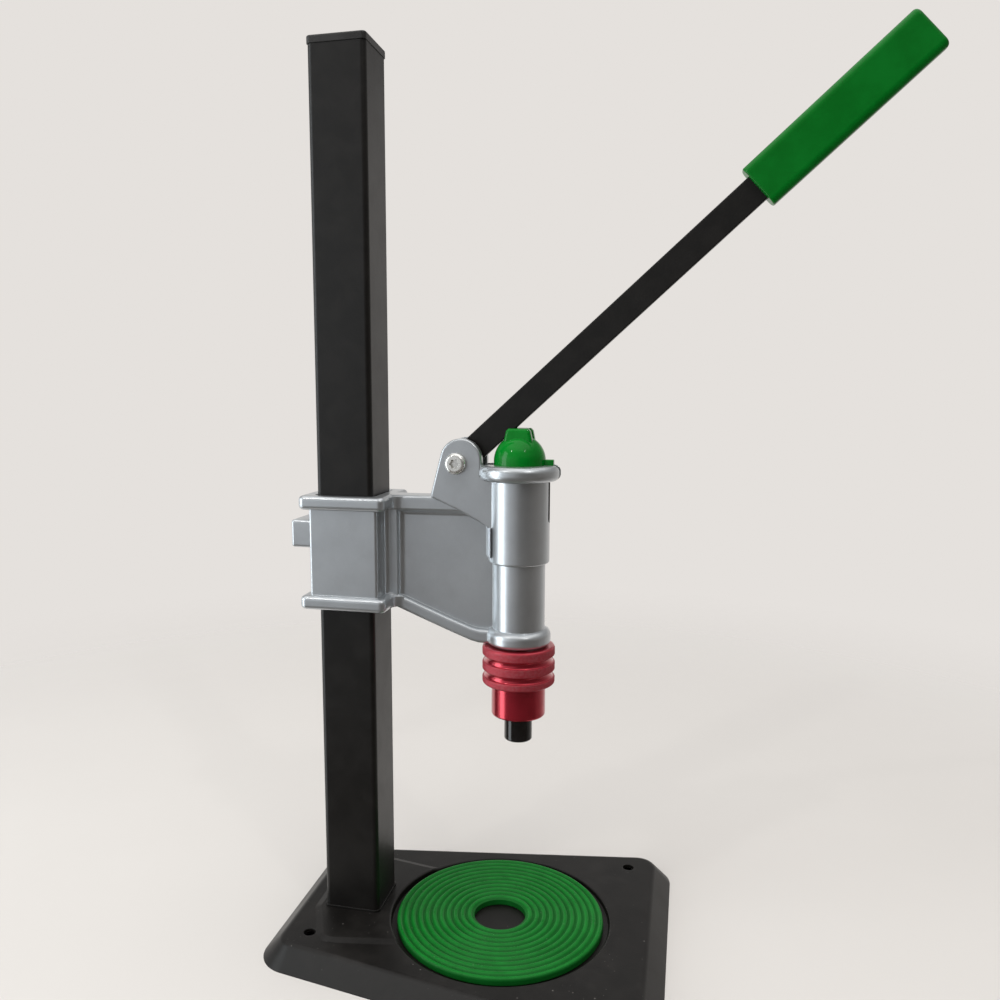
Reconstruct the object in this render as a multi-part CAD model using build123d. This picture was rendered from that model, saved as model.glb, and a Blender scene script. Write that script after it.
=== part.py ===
from build123d import *
import math
import os

# Manual bench capping press. Millimetres. +Z up, origin on the column's axis at the level of the
# bench top. +X runs from the column to the ram, so the operator stands at +X.

# ---- base plate ----
BASE_H = 13.4            # bench to the plate's flat top
SHEET = 2.5              # sheet thickness
REAR_X, FRONT_X = -37.5, 209.8      # flat top, rear and front edges
REAR_HW, FRONT_HW = 64.2, 105.8     # flat top, half widths at those edges
CORNER_R = 12.0
SKIRT = 13.0             # how far the sloped edge runs out
SLOPE = SKIRT / BASE_H
WALL_RUN = SHEET * math.hypot(1, SLOPE)     # the skirt's wall, measured level
PAD_H = 1.5              # raised pad under the column
PAD_TOP = BASE_H + PAD_H
PAD_UNDER = PAD_TOP - SHEET
# pad's top outline: X, Y
PAD_OUTLINE = [(-23.5, -20), (-7, -55), (62, -43), (62, 43), (-7, 55), (-23.5, 20)]
MAT_X = 105.1            # centre of the mat and its recess
RECESS_R = 77.6
RECESS_D = 4.0
RECESS_FLOOR = BASE_H - RECESS_D
HOLE_R = 4.25            # mounting holes
HOLES = [(-19.4, 50.7), (190.4, 85.9)]      # X, half spacing in Y

# ---- column screws, from below ----
SCREW_R = 3.0
SCREW_OFF = 11.0         # from the column's axis, in X and in Y
SCREW_XY = [(sx * SCREW_OFF, sy * SCREW_OFF) for sx in (-1, 1) for sy in (-1, 1)]
SCREW_HOLE_R = SCREW_R + 0.3
BACKING_T = 3.0
BACKING_LO = PAD_UNDER - BACKING_T
WASHER_T = 1.2
WASHER_LO = BACKING_LO - WASHER_T
SCREW_HEAD_H = 4.0
SCREW_HEAD_FLATS = 10.0  # across flats

# ---- mat ----
MAT_R = 73.5
MAT_BORE_R = 18.4
MAT_TOP = BASE_H + 1.9
MAT_RIM_R = 2.2          # rounding of the rim
RIDGES = 10
RIDGE_H = 1.3
RIDGE_STEPS = 12         # profile points per ridge
RIDGED_OUT_R = MAT_R - 4.2
RIDGED_IN_R = MAT_BORE_R + 0.8

# ---- column ----
COL = 40.0
COL_WALL = 2.0
COL_R = 3.5
COL_INSIDE = COL - 2 * COL_WALL
FOOT_FLANGE = 1.6
COL_LO, COL_TOP = PAD_TOP + FOOT_FLANGE, 608.3
CAP_H = 5.0
PLUG_SIDE, PLUG_R, PLUG_L = COL_INSIDE - 0.1, 1.4, 16   # foot and cap, inside the column

# ---- head casting ----
SLEEVE_X, SLEEVE_Y = 49.2, 48.4
SLEEVE_BORE = 42.0
COLLAR_X, COLLAR_Y = 62.0, 57.4
COLLAR_H = 9.5
COLLAR_BORE = 40.8
HEAD_LO, HEAD_HI = 237.4, 316.2
BLOCK_X = -37.8          # rear block
BLOCK_LO, BLOCK_HI = 279.9, 299.1
WEB_T = 6.0
FLANGE_HW = 8.5
ROOT_HW, ROOT_X = FLANGE_HW - 0.5, 33.5     # root flange on the sleeve
TOP_FLANGE_T, LOW_FLANGE_T = 10.8, 9.5
# underside of the arm: X, Z
ARM_UNDER = [(24, 241.4), (33.8, 237.3), (49.7, 230.8), (71.1, 222.3), (85, 217.1),
             (91, 215.7), (112, 215.7)]
EAR_IN, EAR_OUT = 6.5, 12.0
EAR_X, EAR_Z = 79.5, 341.4
EAR_R = 14.2
EAR_HEEL = (58.8, 318.2)            # where the ear's rear edge starts: X, Z
# the ear's front and bottom edges: X, Z
EAR_REST = [(EAR_X + EAR_R, 330), (108, 330), (108, 290.4), (99.2, 296.4), (75.9, 308.4),
            (58.8, 315.8)]
# floor between the ears: X, Z
EAR_FLOOR = [(62, 315.2), (66, HEAD_HI), (106, HEAD_HI), (106, 297.4), (99.2, 297.4),
             (75.9, 309.4)]
PIVOT_X, PIVOT_Z = 76.5, 339.0
RAM_X = 117.5
TUBE_R, TUBE_LO = 20.4, 272.0
BOSS_R = TUBE_R + 1.7
LOWER_R = 17.7
RIM_R, RIM_LO, RIM_HI = 27.4, 327.7, 338.2
FOOT_R, FOOT_LO, FOOT_HI = 21.8, 215.6, 226.6
BORE_R, BORE_LO = 17.5, 281.0
SPRING_BORE_R, LIP_Z, LIP_R = 14.2, 219.2, 8.0
SLOT_W, SLOT_LO = 7.0, 299.4

# ---- lock in the rear block ----
POCKET_LO, POCKET_HI = 281.9, 297.4
LOCK_X, LOCK_Z = -29.0, 291.4       # pin axis
LOCK_PIN_R = 2.0
CAM_DEG = 15.8           # cam's tilt, nose up
CAM_HW = 13.4
CAM_TIP = 8.75
# cam outline: along the cam, across it
CAM_OUTLINE = [(CAM_TIP, -0.6), (CAM_TIP, 0.9), (3, 3.6), (-3, 3.2), (-8.4, 1.2),
               (-8.4, -1.2), (-3, -3.2), (3, -3.6)]

# ---- lever and its pivot ----
REST_DEG = 42.4
BAR_H, BAR_T = 17.4, 5.0
GRIP_0, GRIP_1 = 252.6, 377.6
GRIP_H, GRIP_T = 29.0, 13.0
LEVER_BORE_R = 5.0
BOLT_R = 4.0
BOLT_HEAD_R = 7.2
BOLT_HEAD_Y = -EAR_OUT - 4.4        # outer face of the head
BOLT_END_Y = EAR_OUT + 9.5
SOCKET_DEPTH = 2.9
NUT_H, NUT_FLATS = 6.8, 13.0
SPACER_T, SPACER_END = 3.8, 6.35

# ---- plunger ----
DOME_R = 17.4
DOME_Z = 340.8
SKIRT_LO = 318.4
LOBE_TOP = 362.4
# lobe outline: X from the ram's axis, Z
LOBE_OUTLINE = [(-11, DOME_Z - 8), (11, DOME_Z - 8), (10.9, LOBE_TOP - 15),
                (8.1, LOBE_TOP - 1.6), (6.6, LOBE_TOP), (-6.6, LOBE_TOP),
                (-8.1, LOBE_TOP - 1.6), (-10.9, LOBE_TOP - 15)]
LOBE_IN, LOBE_OUT = 3.2, 8.6
TONGUE_LO, TONGUE_HI = 335.9, 341.9
SPRING_SEAT = 241.0
ROD_R = 6.0
STUD_R = ROD_R - 1.0     # thin upper end of the rod
STUD_LO = DOME_Z - 14
STUD_BORE_R = STUD_R + 0.02
CAP_NUT_LO, CAP_NUT_H = DOME_Z - 10.4, 6.0

# ---- die ----
HOLDER_R, HOLDER_LO, HOLDER_HI = 24.85, 188.4, 215.0
HOLDER_BORE_R, HOLDER_BORE_TOP = 15.02, HOLDER_LO + 14
DIE_R, DIE_LO = 18.55, 165.6
DIE_TOP = HOLDER_LO + 13.9
DIE_BORE_R, DIE_MOUTH_R = 12.6, 9.72
GROOVES = (206.0, 195.6)
COLLET_R, COLLET_LO = 9.6, 147.4
COLLET_BORE_R, COLLET_BORE_L = 7.6, 10.0


# ---- shapes ----
def round_z(radius, z0, z1, x=0.0, y=0.0):
    return Pos(x, y, (z0 + z1) / 2) * Cylinder(radius, z1 - z0)


def ram_round(radius, z0, z1):
    """A cylinder on the ram's axis."""
    return round_z(radius, z0, z1, RAM_X)


def round_y(radius, y0, y1, x, z):
    return Pos(x, (y0 + y1) / 2, z) * Rot(90, 0, 0) * Cylinder(radius, y1 - y0)


def pivot_round(radius, y0, y1):
    """A cylinder on the lever pivot's axis."""
    return round_y(radius, y0, y1, PIVOT_X, PIVOT_Z)


def block(x0, x1, y0, y1, z0, z1):
    return Pos((x0 + x1) / 2, (y0 + y1) / 2, (z0 + z1) / 2) * Box(x1 - x0, y1 - y0, z1 - z0)


def slab(x0, x1, half_width, z0, z1):
    """A block centred on Y = 0."""
    return block(x0, x1, -half_width, half_width, z0, z1)


def side_span(side, near_y, far_y):
    """The Y range between two distances from Y = 0, on the side given by -1 or 1."""
    return sorted((side * near_y, side * far_y))


def outline(points):
    return make_face(Polyline(*points, close=True))


def outline_xz(points):
    return outline([(x, 0, z) for x, z in points])


def prism_xz(points, y0, y1):
    """A prism of an X, Z outline between two Y values."""
    return Pos(0, y0, 0) * extrude(outline_xz(points), amount=y1 - y0, dir=(0, 1, 0))


def turned(points, x):
    """A radius, Z outline turned about the vertical axis at x."""
    return Pos(x, 0, 0) * revolve(outline_xz(points), Axis.Z, 360)


def oblong(side_x, side_y, corner_r, z0, z1):
    return Pos(0, 0, z0) * extrude(RectangleRounded(side_x, side_y, corner_r), amount=z1 - z0)


def square(side, corner_r, z0, z1):
    return oblong(side, side, corner_r, z0, z1)


def hexagon(flats, height):
    return extrude(RegularPolygon(flats / 2, 6, major_radius=False), amount=height)


def spring(mean_r, wire_r, z0, z1, turns, x):
    """A round-wire helix whose wire stays between z0 and z1."""
    height = (z1 - z0) - 2 * wire_r
    path = Helix(pitch=height / turns, height=height, radius=mean_r)
    section = Plane(origin=path @ 0, z_dir=path % 0) * Circle(wire_r)
    return Pos(x, 0, z0 + wire_r) * sweep(section, path=path)


def drill_screw_holes(solid, radius, z0, z1):
    for x, y in SCREW_XY:
        solid = solid - round_z(radius, z0, z1, x, y)
    return solid


def group(shapes):
    return Compound(children=[shape.solids()[0] for shape in shapes])


# ---- edge selection and rounding ----
def near(value, target):
    return abs(value - target) < 0.01


def on_z(z):
    """Picks edges that lie level at z."""
    return lambda e: near(e.bounding_box().min.Z, z) and near(e.bounding_box().max.Z, z)


def on_sides(edge, y):
    """True when the edge lies in the plane Y = y or Y = -y."""
    box = edge.bounding_box()
    return near(abs(edge.center().Y), y) and near(box.max.Y, box.min.Y)


def length_x(edge):
    return edge.bounding_box().max.X - edge.bounding_box().min.X


def is_circle(edge, radius):
    return edge.geom_type == GeomType.CIRCLE and near(edge.radius, radius)


def circle_on_y(y):
    return lambda e: e.geom_type == GeomType.CIRCLE and near(e.center().Y, y)


def soften(solid, radius, pick):
    """Rounds the picked edges, with a smaller radius when the first can't be built."""
    for r in (radius, radius * 0.7, radius * 0.45):
        edges = [e for e in solid.edges() if pick(e)]
        if not edges:
            return solid
        # guards a fillet that the kernel can't build at this radius
        try:
            out = fillet(edges, r)
            if out.is_valid and out.volume > 0:
                return out
        except Exception:
            pass
    return solid


# ---- base ----
def base_plate():
    """Pressed sheet with a sloped skirt, a dished recess and a raised pad."""
    corners = [(REAR_X, -REAR_HW), (FRONT_X, -FRONT_HW), (FRONT_X, FRONT_HW), (REAR_X, REAR_HW)]
    top = fillet(outline(corners).vertices(), CORNER_R)

    def tray(grow_lo, z_lo, grow_hi, z_hi):
        lo = offset(top, grow_lo) if grow_lo else top
        hi = offset(top, grow_hi) if grow_hi else top
        return loft([Pos(0, 0, z_lo) * lo, Pos(0, 0, z_hi) * hi], ruled=True)

    base = soften(tray(SKIRT, 0, 0, BASE_H), 5.0, on_z(BASE_H))
    pad_top = fillet(outline(PAD_OUTLINE).vertices(), 7)
    pad_foot = Pos(0, 0, BASE_H - 1.0) * offset(pad_top, 8.0)
    pad = loft([pad_foot, Pos(0, 0, PAD_TOP) * pad_top], ruled=True)
    pad = soften(pad, 2.0, on_z(PAD_TOP))
    # keep the pad's foot clear of the skirt
    pad = pad & block(-40, 70, -58, 58, BASE_H - 1.5, BASE_H + 5)
    base = base + pad

    # hollow underneath, for the plate and for the pad
    inner_top = BASE_H - SHEET
    hollow = tray(SKIRT - WALL_RUN + SLOPE, -1.0, SLOPE * SHEET - WALL_RUN, inner_top)
    pad_hollow_foot = Pos(0, 0, inner_top - 1.0) * offset(pad_top, 4.0)
    pad_hollow_top = Pos(0, 0, PAD_UNDER) * offset(pad_top, -1.5)
    hollow = hollow + loft([pad_hollow_foot, pad_hollow_top], ruled=True)
    dish = round_z(RECESS_R + SHEET, RECESS_FLOOR - SHEET, BASE_H - 0.5, MAT_X)
    base = (base - hollow) + dish
    base = base - round_z(RECESS_R, RECESS_FLOOR, 40, MAT_X)
    base = soften(base, 1.6, lambda e: is_circle(e, RECESS_R) and e.center().Z > BASE_H - 1)
    base = soften(base, 1.0, lambda e: is_circle(e, RECESS_R) and e.center().Z < BASE_H - 3.5)
    for x, y in HOLES:
        for side in (-1, 1):
            base = base - round_z(HOLE_R, -5, 30, x, side * y)
    return drill_screw_holes(base, SCREW_HOLE_R, 5, 20)


def backing_plate():
    """Stiffening plate under the pad."""
    plate = Pos(2.75, 0, 0) * oblong(42.5, 54, 6, BACKING_LO, PAD_UNDER)
    return drill_screw_holes(plate, SCREW_HOLE_R, 0, 20)


def column_bolts():
    head_lo = WASHER_LO - SCREW_HEAD_H
    screws = []
    for x, y in SCREW_XY:
        head = Pos(x, y, head_lo) * hexagon(SCREW_HEAD_FLATS, SCREW_HEAD_H)
        head = chamfer(head.edges().filter_by(on_z(head_lo)), 0.5)
        screws.append(head + round_z(SCREW_R, WASHER_LO - 0.1, PAD_TOP + 14, x, y))
    return group(screws)


def bolt_washers():
    return group(
        round_z(6.0, WASHER_LO, BACKING_LO, x, y) - round_z(SCREW_R + 0.2, 0, 20, x, y)
        for x, y in SCREW_XY
    )


def bottle_mat():
    """Mat with a rounded rim, concentric ridges and a through hole."""
    profile = [
        (MAT_BORE_R, RECESS_FLOOR + 0.6),
        (MAT_BORE_R + 0.6, RECESS_FLOOR),
        (MAT_R - 1.0, RECESS_FLOOR),
        (MAT_R, RECESS_FLOOR + 1.0),
        (MAT_R, MAT_TOP - MAT_RIM_R),
    ]
    for k in range(1, 8):
        angle = math.radians(90 * k / 7)
        profile.append((MAT_R - MAT_RIM_R + MAT_RIM_R * math.cos(angle),
                        MAT_TOP - MAT_RIM_R + MAT_RIM_R * math.sin(angle)))
    count = RIDGES * RIDGE_STEPS
    for k in range(count + 1):
        radius = RIDGED_OUT_R - (RIDGED_OUT_R - RIDGED_IN_R) * k / count
        phase = (k % RIDGE_STEPS) / RIDGE_STEPS
        dip = (0.5 + 0.5 * math.cos(2 * math.pi * phase)) ** 1.6
        profile.append((radius, MAT_TOP - RIDGE_H * dip))
    profile.append((MAT_BORE_R, MAT_TOP - RIDGE_H - 0.3))
    return turned(profile, MAT_X)


# ---- column ----
def column():
    bore = square(COL_INSIDE, COL_R - COL_WALL, COL_LO - 1, COL_TOP + 1)
    return square(COL, COL_R, COL_LO, COL_TOP) - bore


def column_foot():
    foot = square(41.8, 4.0, PAD_TOP, COL_LO) + square(PLUG_SIDE, PLUG_R, COL_LO, COL_LO + PLUG_L)
    return drill_screw_holes(foot, SCREW_R + 0.02, 0, PAD_TOP + 15)


def column_cap():
    cap = square(COL + 0.9, COL_R - 0.6, COL_TOP, COL_TOP + CAP_H)
    cap = soften(cap, 1.2, on_z(COL_TOP + CAP_H))
    plug = square(PLUG_SIDE, PLUG_R, COL_TOP - PLUG_L, COL_TOP)
    return cap + (plug - square(COL_INSIDE - 5, 0.8, COL_TOP - PLUG_L - 1, COL_TOP))


# ---- head casting ----
def sleeve_with_collars():
    collar = oblong(COLLAR_X, COLLAR_Y, 4.6, 0, COLLAR_H)
    collar = soften(collar, 3.0, lambda e: on_z(0)(e) or on_z(COLLAR_H)(e))
    sleeve = oblong(SLEEVE_X, SLEEVE_Y, 2.0, HEAD_LO + 1, HEAD_HI - 1)
    return sleeve + Pos(0, 0, HEAD_LO) * collar + Pos(0, 0, HEAD_HI - COLLAR_H) * collar


def plan_fillet(face_x, radius, half_width, z0, z1):
    """The rounded corners, seen from above, between a face at face_x and a centred rib."""
    corners = []
    for side in (-1, 1):
        span = side_span(side, half_width - 1, half_width + radius)
        corner = block(face_x - 1, face_x + radius, *span, z0, z1)
        axis_y = side * (half_width + radius)
        corners.append(corner - round_z(radius, z0 - 1, z1 + 1, face_x + radius, axis_y))
    return corners[0] + corners[1]


def arm():
    """Web between a top flange, a sloped bottom flange and a root flange on the sleeve."""
    web = prism_xz(ARM_UNDER + [(112, 314), (20, 314), (20, 241.4)], -WEB_T / 2, WEB_T / 2)
    bottom_points = ARM_UNDER + [(x, z + LOW_FLANGE_T) for x, z in reversed(ARM_UNDER)]
    bottom = prism_xz(bottom_points, -FLANGE_HW, FLANGE_HW)
    bottom = soften(bottom, 2.2, lambda e: on_sides(e, FLANGE_HW) and e.center().X < 108)
    top_under = HEAD_HI - TOP_FLANGE_T
    top = slab(22, 106, FLANGE_HW, top_under, HEAD_HI)
    top = soften(top, 2.2, lambda e: near(abs(e.center().Y), FLANGE_HW) and length_x(e) > 50)
    root = slab(22, ROOT_X, ROOT_HW, HEAD_LO + 5, HEAD_HI - 5)
    out = web + bottom + top + root

    # face X, radius, rib half width, z0, z1
    for row in (
        (COLLAR_X / 2, 7.0, FLANGE_HW, HEAD_HI - COLLAR_H + 0.6, HEAD_HI - 0.8),
        (COLLAR_X / 2, 7.0, FLANGE_HW, HEAD_LO + 1.2, HEAD_LO + COLLAR_H - 1.2),
        (ROOT_X - 0.02, 4.5, WEB_T / 2, HEAD_LO + 7, HEAD_HI - 6),
        (SLEEVE_X / 2, 4.0, ROOT_HW, HEAD_LO + 6, HEAD_HI - 6),
    ):
        out = out + plan_fillet(*row)
    # fillets between the web and the top flange
    radius = 3.0
    for side in (-1, 1):
        strip = block(33, 104, *side_span(side, 2, 6), top_under - radius, top_under + 1)
        hollow = Pos(68, side * 6.0, top_under - radius) * Rot(0, 90, 0) * Cylinder(radius, 90)
        out = out + (strip - hollow)
    return out


def ears():
    """The two pivot ears; each rear edge runs from the heel tangent to the ear's round."""
    heel_x, heel_z = EAR_HEEL
    reach = math.hypot(EAR_X - heel_x, EAR_Z - heel_z)
    angle = math.atan2(EAR_Z - heel_z, EAR_X - heel_x) + math.asin(EAR_R / reach)
    run = math.sqrt(reach**2 - EAR_R**2)
    tangent = (heel_x + run * math.cos(angle), heel_z + run * math.sin(angle))
    points = [EAR_HEEL, tangent, (EAR_X, EAR_Z), (EAR_X + EAR_R, EAR_Z)] + EAR_REST
    out = []
    for side in (-1, 1):
        span = side_span(side, EAR_IN, EAR_OUT)
        ear = prism_xz(points, *span) + round_y(EAR_R, *span, EAR_X, EAR_Z)
        out.append(soften(ear, 1.5, lambda e: on_sides(e, EAR_OUT) and e.center().X < 100))
    return out


def ram_tube_parts():
    tube = soften(ram_round(TUBE_R, TUBE_LO, RIM_HI - 2), 1.6, on_z(TUBE_LO))
    rim = soften(ram_round(RIM_R, RIM_LO, RIM_HI), 4.6, on_z(RIM_LO))
    rim = soften(rim, 4.2, on_z(RIM_HI))
    lower = ram_round(LOWER_R, FOOT_LO + 1, TUBE_LO + 2)
    foot_ring = soften(ram_round(FOOT_R, FOOT_LO, FOOT_HI), 4.4, on_z(FOOT_HI))
    foot_ring = soften(foot_ring, 3.2, on_z(FOOT_LO))
    # raised band on the tube's column side
    boss = ram_round(BOSS_R, 276.2, 296.4) & slab(90, RAM_X - 17, 30, 270, 300)
    boss = soften(boss, 0.7, lambda e: is_circle(e, BOSS_R))
    return [tube, rim, lower, foot_ring, boss]


def head_cuts():
    """What is cut from the casting, in order."""
    slot_axis_z = SLOT_LO + SLOT_W / 2
    slot = block(RAM_X, RAM_X + 40, -SLOT_W / 2, SLOT_W / 2, slot_axis_z, RIM_HI + 5)
    slot = slot + Pos(RAM_X + 20, 0, slot_axis_z) * Rot(0, 90, 0) * Cylinder(SLOT_W / 2, 40)
    lead_side = COLLAR_BORE + 3
    lead = extrude(RectangleRounded(lead_side, lead_side, COL_R + 1), amount=-1.5, taper=45)
    return [
        # bores for the plunger, the spring and the rod
        ram_round(BORE_R, BORE_LO, RIM_HI + 5),
        ram_round(SPRING_BORE_R, LIP_Z, BORE_LO + 1),
        ram_round(LIP_R, FOOT_LO - 2, LIP_Z + 1),
        # front slot, then the gap between the ears
        slot,
        slab(50, RAM_X - 5, EAR_IN, 321.0, RIM_HI + 25),
        slab(50, 90, EAR_IN, HEAD_HI + 0.01, RIM_HI + 25),
        pivot_round(BOLT_R + 0.03, -20, 20),
        # column opening, wider inside for the glides, with a lead-in at the top
        square(COLLAR_BORE, COL_R + 0.2, HEAD_LO - 5, HEAD_HI + 5),
        square(SLEEVE_BORE, COL_R + 0.4, HEAD_LO + COLLAR_H + 1, HEAD_HI - COLLAR_H - 1),
        Pos(0, 0, HEAD_HI + 0.001) * lead,
        # lock cam pocket, open to the rear and to the column, and its pin bore
        slab(-45, -20, 14, POCKET_LO, POCKET_HI),
        round_y(LOCK_PIN_R + 0.02, -22, 22, LOCK_X, LOCK_Z),
    ]


def head_casting():
    rear = slab(BLOCK_X, -18, SLEEVE_Y / 2 - 0.3, BLOCK_LO, BLOCK_HI)
    rear = soften(rear, 2.0, lambda e: e.center().X < -20)
    # solid floor that ties the ears to the arm
    floor = prism_xz(EAR_FLOOR, -EAR_OUT + 0.6, EAR_OUT - 0.6)
    casting = sleeve_with_collars()
    for part in (rear, arm(), *ears(), floor, *ram_tube_parts()):
        casting = casting + part
    for cut in head_cuts():
        casting = casting - cut
    return casting


def column_glides():
    """Strips on the four inner walls; the rear one stops below the lock pocket."""
    glides = []
    for deg in (0, 90, 180, 270):
        top = POCKET_LO - 2 if deg == 180 else HEAD_HI - COLLAR_H - 3
        strip = slab(20.05, 20.98, 12, HEAD_LO + COLLAR_H + 3, top)
        glides.append(Rot(0, 0, deg) * strip)
    return group(glides)


# ---- lock ----
def lock_cam():
    cos_tilt = math.cos(math.radians(CAM_DEG))
    sin_tilt = math.sin(math.radians(CAM_DEG))
    points = [
        (LOCK_X + along * cos_tilt - across * sin_tilt,
         LOCK_Z + along * sin_tilt + across * cos_tilt)
        for along, across in CAM_OUTLINE
    ]
    cam = prism_xz(points, -CAM_HW, CAM_HW) + round_y(3.7, -CAM_HW, CAM_HW, LOCK_X, LOCK_Z)
    return cam - round_y(LOCK_PIN_R + 0.05, -20, 20, LOCK_X, LOCK_Z)


def lock_pin():
    return round_y(LOCK_PIN_R, -21.8, 21.8, LOCK_X, LOCK_Z)


def lock_spring():
    return spring(2.3, 0.35, POCKET_LO + 0.15, 287.0, turns=3.5, x=-34.6)


# ---- pivot and lever ----
def pivot_bolt():
    """Bolt with its head at -Y and a six-lobe socket."""
    shank = pivot_round(BOLT_R, -EAR_OUT - 0.5, BOLT_END_Y)
    head = pivot_round(BOLT_HEAD_R, BOLT_HEAD_Y, -EAR_OUT)
    head = soften(head, 2.6, circle_on_y(BOLT_HEAD_Y))
    lobes = Circle(2.75)
    for k in range(6):
        angle = k * math.pi / 3
        lobes = lobes + Pos(2.55 * math.cos(angle), 2.55 * math.sin(angle)) * Circle(0.85)
    socket_place = Pos(PIVOT_X, BOLT_HEAD_Y + SOCKET_DEPTH, PIVOT_Z) * Rot(90, 0, 0)
    bolt = (shank + head) - socket_place * extrude(lobes, amount=6)
    return soften(bolt, 0.8, circle_on_y(BOLT_END_Y))


def pivot_nut():
    nut_end = EAR_OUT + NUT_H
    nut = Pos(PIVOT_X, nut_end, PIVOT_Z) * Rot(90, 0, 0) * hexagon(NUT_FLATS, NUT_H)
    nut = nut & pivot_round(7.25, EAR_OUT, nut_end)
    nut = nut + pivot_round(6.0, nut_end, nut_end + 1.4)
    return nut - pivot_round(BOLT_R + 0.02, 0, 40)


# the bar and grip are built along +X from the pivot and then raised
RAISE_LEVER = Pos(PIVOT_X, 0, PIVOT_Z) * Rot(0, -REST_DEG, 0)


def lever_bar():
    bar = slab(0, GRIP_1 - 4, BAR_T / 2, -BAR_H / 2, BAR_H / 2)
    bar = bar + round_y(BAR_H / 2, -BAR_T / 2, BAR_T / 2, 0, 0)
    bar = soften(bar, 0.7, lambda e: on_sides(e, BAR_T / 2))
    return RAISE_LEVER * (bar - round_y(LEVER_BORE_R, -10, 10, 0, 0))


def lever_grip():
    grip = slab(GRIP_0, GRIP_1, GRIP_T / 2, -GRIP_H / 2, GRIP_H / 2)
    grip = soften(grip, 4.6, lambda e: length_x(e) > 50)
    grip = soften(grip, 2.4, lambda e: near(e.center().X, GRIP_1))
    grip = soften(grip, 1.2, lambda e: near(e.center().X, GRIP_0))
    half_h = BAR_H / 2 + 0.05
    return RAISE_LEVER * (grip - slab(GRIP_0 - 5, GRIP_1 - 3.9, BAR_T / 2 + 0.05, -half_h, half_h))


def lever_bush():
    return pivot_round(LEVER_BORE_R - 0.02, -6.4, 6.4) - pivot_round(BOLT_R + 0.05, -20, 20)


def pivot_washers():
    return group(
        pivot_round(8.2, y, y + SPACER_T) - pivot_round(LEVER_BORE_R + 0.02, -20, 20)
        for y in (-SPACER_END, SPACER_END - SPACER_T)
    )


# ---- plunger ----
def plunger_cap():
    """Domed cap with two lobes on top and a tongue towards +X."""
    cap = ram_round(DOME_R, SKIRT_LO, DOME_Z) + Pos(RAM_X, 0, DOME_Z) * Sphere(DOME_R)
    for side in (-1, 1):
        points = [(RAM_X + x, z) for x, z in LOBE_OUTLINE]
        lobe = prism_xz(points, *side_span(side, LOBE_IN, LOBE_OUT))
        lobe = soften(
            lobe, 2.0, lambda e: e.center().Z > 350 and near(abs(e.center().Y), LOBE_OUT))
        lobe = soften(
            lobe, 0.7, lambda e: e.center().Z > 345 and abs(abs(e.center().Y) - LOBE_OUT) < 1.2)
        cap = cap + lobe
    # trim the lobes to the cap's own round below the dome's middle
    keep_low = ram_round(DOME_R, SKIRT_LO, DOME_Z + 2)
    cap = cap & (keep_low + ram_round(DOME_R + 1.2, DOME_Z + 1.9, 370))
    tongue = slab(RAM_X + 10, RAM_X + 23, 2.5, TONGUE_LO, TONGUE_HI)
    tongue = soften(
        tongue, 0.8, lambda e: e.center().X > RAM_X + 20 or e.center().Z > TONGUE_HI - 0.1)
    cap = cap + tongue
    cap = cap - ram_round(13.6, SKIRT_LO - 5, DOME_Z - 4.3)
    return cap - ram_round(STUD_BORE_R, 330, DOME_Z + 7.7)


def plunger_rod():
    rod_lo = HOLDER_LO + 15
    rod = ram_round(ROD_R, rod_lo, STUD_LO) + ram_round(STUD_R, STUD_LO, DOME_Z + 7.2)
    return soften(rod, 0.6, on_z(rod_lo))


def cap_nut():
    nut = Pos(RAM_X, 0, CAP_NUT_LO) * hexagon(17.0, CAP_NUT_H)
    nut = nut & ram_round(9.5, CAP_NUT_LO, CAP_NUT_LO + CAP_NUT_H)
    return nut - ram_round(STUD_BORE_R, 300, 345)


def guide_bush():
    bush = ram_round(SPRING_BORE_R - 0.02, LIP_Z, SPRING_SEAT)
    return bush - ram_round(ROD_R + 0.05, 200, 260)


def return_spring():
    return spring(11.6, 1.1, SPRING_SEAT + 0.1, DOME_Z - 4.5, turns=8.5, x=RAM_X)


# ---- die: profiles are radius, Z ----
def die_holder():
    """Holder with two grooves round it."""
    groove = ((0, 2.4), (1.9, 1.3), (1.9, -1.3), (0, -2.4))     # depth, Z from its middle
    return turned([
        (ROD_R + 0.02, HOLDER_HI - 1.0),
        (ROD_R + 1.5, HOLDER_HI),
        (HOLDER_R - 1.6, HOLDER_HI),
        (HOLDER_R, HOLDER_HI - 1.2),
        *[(HOLDER_R - depth, z + dz) for z in GROOVES for depth, dz in groove],
        (HOLDER_R, HOLDER_LO + 1.2),
        (HOLDER_R - 1.2, HOLDER_LO),
        (HOLDER_BORE_R, HOLDER_LO),
        (HOLDER_BORE_R, HOLDER_BORE_TOP),
        (ROD_R + 0.02, HOLDER_BORE_TOP),
    ], RAM_X)


def die_sleeve():
    neck_r, neck_lo = HOLDER_BORE_R - 0.02, HOLDER_LO - 0.02
    return turned([
        (DIE_MOUTH_R, DIE_LO + 0.6), (10.3, DIE_LO),
        (DIE_R - 1.2, DIE_LO), (DIE_R - 0.35, DIE_LO + 0.35), (DIE_R, DIE_LO + 1.2),
        (DIE_R, neck_lo), (neck_r, neck_lo), (neck_r, DIE_TOP),
        (DIE_BORE_R, DIE_TOP), (DIE_BORE_R, DIE_LO + 4.2), (DIE_MOUTH_R, DIE_LO + 4.2),
    ], RAM_X)


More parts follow.
